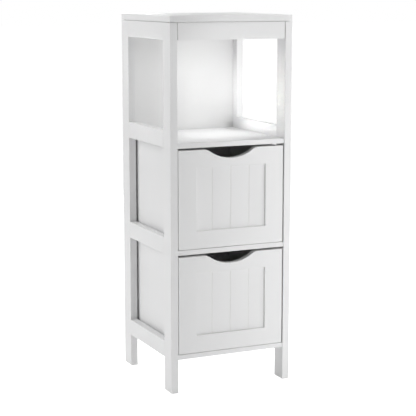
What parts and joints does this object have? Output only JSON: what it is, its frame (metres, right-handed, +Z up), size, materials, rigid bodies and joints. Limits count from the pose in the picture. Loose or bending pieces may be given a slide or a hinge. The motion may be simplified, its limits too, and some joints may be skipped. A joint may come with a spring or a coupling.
{
  "type": "bathroom storage tower",
  "caption": "Tall slim free-standing storage tower in white painted board, with open ladder sides, an open compartment under the top, and stacked drawers with finger scoops below it.",
  "frame": {"origin": "centre of the footprint, on the floor under the legs", "axes": "+Z up, +X to the right as seen from the front, +Y from the drawers' fronts to the back panel"},
  "size_m": [0.314, 0.309, 0.89],
  "materials": {
    "white_paint": "satin white sprayed paint on medium-density fibreboard, with eased edges",
    "white_hardboard": "thin hardboard with a white face",
    "beech": "raw beech dowels, hidden in the joints",
    "zinc": "bright zinc plate on the cam bolts, cam nuts and screws"
  },
  "bodies": {
    "frame": {"left_front_post": "white_paint", "left_back_post": "white_paint", "right_front_post": "white_paint", "right_back_post": "white_paint", "left_bottom_rail": "white_paint", "left_middle_rail": "white_paint", "left_shelf_rail": "white_paint", "left_top_rail": "white_paint", "right_bottom_rail": "white_paint", "right_middle_rail": "white_paint", "right_shelf_rail": "white_paint", "right_top_rail": "white_paint", "top_panel": "white_paint", "front_apron": "white_paint", "open_shelf": "white_paint", "middle_shelf": "white_paint", "bottom_shelf": "white_paint", "back_panel": "white_hardboard", "frame_dowels": "beech", "shelf_dowels": "beech", "cam_bolts": "zinc", "cam_nuts": "zinc"},
    "upper_drawer": {"upper_drawer_front": "white_paint", "upper_drawer_left_side": "white_paint", "upper_drawer_right_side": "white_paint", "upper_drawer_back": "white_paint", "upper_drawer_bottom": "white_hardboard", "upper_drawer_dowels": "beech", "upper_drawer_cam_bolts": "zinc", "upper_drawer_cam_nuts": "zinc", "upper_drawer_screws": "zinc"},
    "lower_drawer": {"lower_drawer_front": "white_paint", "lower_drawer_left_side": "white_paint", "lower_drawer_right_side": "white_paint", "lower_drawer_back": "white_paint", "lower_drawer_bottom": "white_hardboard", "lower_drawer_dowels": "beech", "lower_drawer_cam_bolts": "zinc", "lower_drawer_cam_nuts": "zinc", "lower_drawer_screws": "zinc"}
  },
  "joints": [
    {"name": "upper_drawer_slide", "type": "slide", "parent": "frame", "child": "upper_drawer", "axis": [0, -1, 0], "range_m": [0, 0.2]},
    {"name": "lower_drawer_slide", "type": "slide", "parent": "frame", "child": "lower_drawer", "axis": [0, -1, 0], "range_m": [0, 0.2]}
  ]
}
